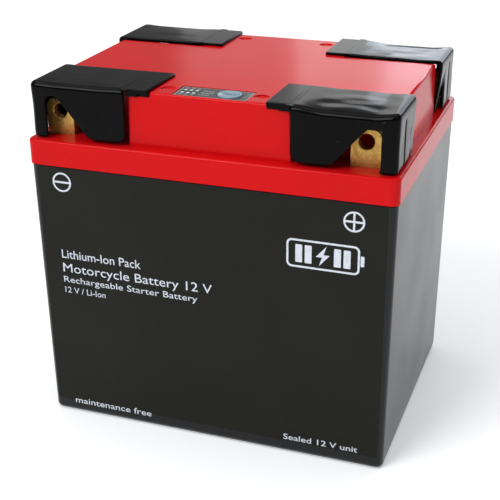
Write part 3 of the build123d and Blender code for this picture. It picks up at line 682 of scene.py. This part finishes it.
def front_print():
    """Pole signs, a plain battery badge and generic lettering, printed on the front film."""
    bm = bmesh.new()
    for x, y, plus in POLE_SIGNS:
        ring(bm, circle((x, y), POLE_RADIUS), circle((x, y), POLE_RADIUS - 0.8), 0, PRINT_THICK)
        bar(bm, (x, y), 2 * POLE_RADIUS - 1.6, POLE_STROKE)
        if plus:
            for side in (-1, 1):
                bar(bm, (x, y + side * 2.1), POLE_STROKE, 3.3)
    badge(bm, (52.3, 100.7), 31.6, 13.0)
    for text, start, width, cap, heavy in FRONT_LINES:
        words(bm, text, start, width, cap, heavy=heavy)
    made = piece_from("front_print", onto_front(bm), print_white, flat_rims=False)
    return settle(made, "root", "label_film")


def badge(bm, centre, length, height):
    """A plain battery outline with its nub and a charging bolt."""
    x, y = centre
    x0, x1, y0, y1 = x - length / 2, x + length / 2, y - height / 2, y + height / 2
    inside = rounded(x0 + 0.9, x1 - 0.9, y0 + 0.9, y1 - 0.9, 1.6, 6)
    ring(bm, rounded(x0, x1, y0, y1, 2.4, 6), inside, 0, PRINT_THICK)
    prism(bm, rounded(x1 + 0.3, x1 + 1.9, y - 2.4, y + 2.4, 0.5, 3), 0, PRINT_THICK)
    bolt = ((1.6, 4.6), (-3.0, -0.6), (-0.3, -0.6), (-1.6, -4.6), (3.0, 0.6), (0.3, 0.6))
    prism(bm, [(x + a, y + b) for a, b in bolt], 0, PRINT_THICK)
    for side in (-1, 1):
        for k in range(2):
            cell = x + side * (6.3 + 4.1 * k)
            prism(bm, rounded(cell - 1.5, cell + 1.5, y - 4.1, y + 4.1, 0.4, 3), 0, PRINT_THICK)


# ---------------------------------------------------------------- charge indicator and its button

BUTTON = (7.0, -48.8)
SCALE_RISE = 1.1         # from dot to dot up the scale


def indicator_film():
    """The indicator's printed film, with its rim softened."""
    bm = drawn_from("indicator_label")
    top = span("indicator_label")[1].z
    soften(bm, 0.06, lambda e: min(v.co.z for v in e.verts) > top - 0.01 and e.calc_length() > 1, steps=2)
    made = piece_from("indicator_sheet", bm, FINISHES["indicator_film"])
    return settle(made, "root", "indicator_film", "indicator_label")


def indicator_print():
    """Tick marks and plain words on the indicator's film."""
    low, high = span("indicator_label")
    top = high.z
    bm = bmesh.new()
    border = [
        rounded(low.x + inset, high.x - inset, low.y + inset, high.y - inset, radius, 3)
        for inset, radius in ((0.35, 0.4), (0.6, 0.3))
    ]
    ring(bm, *border, top, top + PRINT_THICK)
    for x in (-13.6, -11.0, -8.4):
        bar(bm, (x, -44.2), 1.5, 0.6, top, top + PRINT_THICK)
        bar(bm, (x, -53.0), 1.5, 0.6, top, top + PRINT_THICK)
    for text, y, width in (("FULL", -47.2, 5.2), ("HALF", -50.1, 5.2), ("LOW", -53.0, 4.4)):
        words(bm, text, (-5.4, y), width, 1.5, base=top, heavy=0.01)
    return settle(piece_from("indicator_print", bm, print_grey, flat_rims=False), "root", "indicator_film")


def indicator_dots():
    """The dotted gauge scale beside the button, pressed into the film's print."""
    top = span("indicator_label")[1].z
    dot = turned(((0, 0), (0.22, 0), (0.22, 0.02), (0.16, 0.035), (0, 0.035)), steps=12)
    pattern = piece_from("dot_pattern", dot, print_grey, flat_rims=False)
    spots = [(x, -54.0 + SCALE_RISE * k, top) for x in (14.3, -15.2) for k in range(9)]
    made = stood_out("indicator_dots", pattern, spots, print_grey)
    return settle(made, "root", "indicator_film")


def test_button():
    """The test button, with a dished cap inside a raised rim, and its legend."""
    bm = drawn_from("test_button")
    top = span("test_button")[1].z
    for thickness, drop in ((0.7, 0.22), (1.2, 0.06)):
        cap = [f for f in bm.faces if f.normal.z > 0.99 and f.calc_center_median().z > top - 0.5]
        cap = [min(cap, key=lambda f: (f.calc_center_median().xy - Vector(BUTTON)).length)]
        bmesh.ops.inset_region(bm, faces=cap, thickness=thickness, depth=0)
        bmesh.ops.inset_region(bm, faces=cap, thickness=0.25, depth=-drop)
    settle(piece_from("button_cap", bm, FINISHES["button_blue"]), "test_button", "button_blue", "test_button")
    legend = bmesh.new()
    words(legend, "TEST", (BUTTON[0] - 3.1, BUTTON[1] - 1.0), 6.2, 2.2, base=top - 0.27, heavy=0.015)
    made = piece_from("button_legend", legend, print_blue, flat_rims=False)
    return settle(made, "test_button", "button_blue")


case_shell()
lid_shell()
screw_plugs()
for corner in CORNERS:
    terminal(corner)
    flap(corner)
    flap_tab(corner)
    hinge_web(corner)
front_film()
front_print()
indicator_film()
indicator_print()
indicator_dots()
test_button()


# ---------------------------------------------------------------- camera, floor and light

def look(yaw, pitch, roll):
    """Axes of a camera that looks along +Y, turned by yaw, tipped down by pitch and rolled."""
    yaw, pitch, roll = (math.radians(a) for a in (yaw, pitch, roll))
    ahead = Vector((math.sin(yaw) * math.cos(pitch), math.cos(yaw) * math.cos(pitch), -math.sin(pitch)))
    right = ahead.cross(Vector((0, 0, 1))).normalized()
    up = right.cross(ahead)
    turned_right = right * math.cos(roll) + up * math.sin(roll)
    return turned_right, up * math.cos(roll) - right * math.sin(roll), ahead


WHITE = (1.0, 1.0, 1.0, 1.0)
camera = bpy.data.objects.new("camera", bpy.data.cameras.new("camera"))
bpy.context.scene.collection.objects.link(camera)
camera.data.lens = 78.6
camera.data.sensor_width = 36
camera.data.clip_start = 0.01
camera.data.clip_end = 20
camera_right, camera_up, camera_ahead = look(-19.72, 23.97, -0.38)
camera.matrix_world = Matrix((camera_right, camera_up, -camera_ahead)).transposed().to_4x4()
camera.location = (0.1629, -0.4601, 0.2869)
bpy.context.scene.camera = camera

FLOOR_HALF = 6.0
floor = bpy.data.objects.new("floor", bpy.data.meshes.new("floor"))
bpy.context.scene.collection.objects.link(floor)
floor_corners = [(x * FLOOR_HALF, y * FLOOR_HALF, 0.0) for x, y in ((-1, -1), (1, -1), (1, 1), (-1, 1))]
floor.data.from_pydata(floor_corners, [], [(0, 1, 2, 3)])
paper = Finish("paper", (0.93, 0.93, 0.93), 0.9, level=0.1)
paper.shader.inputs["Emission Color"].default_value = (0.94, 0.96, 1.0, 1.0)
paper.shader.inputs["Emission Strength"].default_value = 0.22
floor.data.materials.append(paper.material)


def softbox(name, place, aim, size, watts, tone=(1, 1, 1)):
    """A rectangular studio light that faces its aim."""
    lamp = bpy.data.lights.new(name, "AREA")
    lamp.shape = "RECTANGLE"
    lamp.size, lamp.size_y = size
    lamp.energy = watts
    lamp.color = tone
    made = bpy.data.objects.new(name, lamp)
    bpy.context.scene.collection.objects.link(made)
    made.location = place
    made.rotation_mode = "QUATERNION"
    made.rotation_quaternion = (Vector(aim) - Vector(place)).to_track_quat("-Z", "Y")


softbox("key", (-0.8, -1.5, 1.5), (0, 0, 0.1), (1.0, 1.0), 26)
softbox("overhead", (-0.1, 0.0, 2.4), (0, 0, 0), (2.6, 2.6), 34)
softbox("side_lamp", (1.0, -0.4, 1.1), (0.35, 0, 0), (0.5, 0.5), 1.2, (0.86, 0.93, 1.0))
softbox("back_window", (0.16, 1.9, 0.62), (0.1, 0, 0.1), (1.04, 0.6), 6.0, (0.84, 0.91, 1.0))
softbox("near_reflector", (-0.46, 1.9, 0.62), (0, 0, 0.1), (0.2, 0.6), 0.5)
softbox("far_reflector", (-0.7, 1.9, 0.62), (0, 0, 0.1), (0.28, 0.6), 0.25)

world = bpy.data.worlds.new("studio")
world.use_nodes = True
world.node_tree.nodes["Background"].inputs["Color"].default_value = WHITE
world.node_tree.nodes["Background"].inputs["Strength"].default_value = 0.27
bpy.context.scene.world = world
bpy.context.scene.view_settings.view_transform = "Standard"
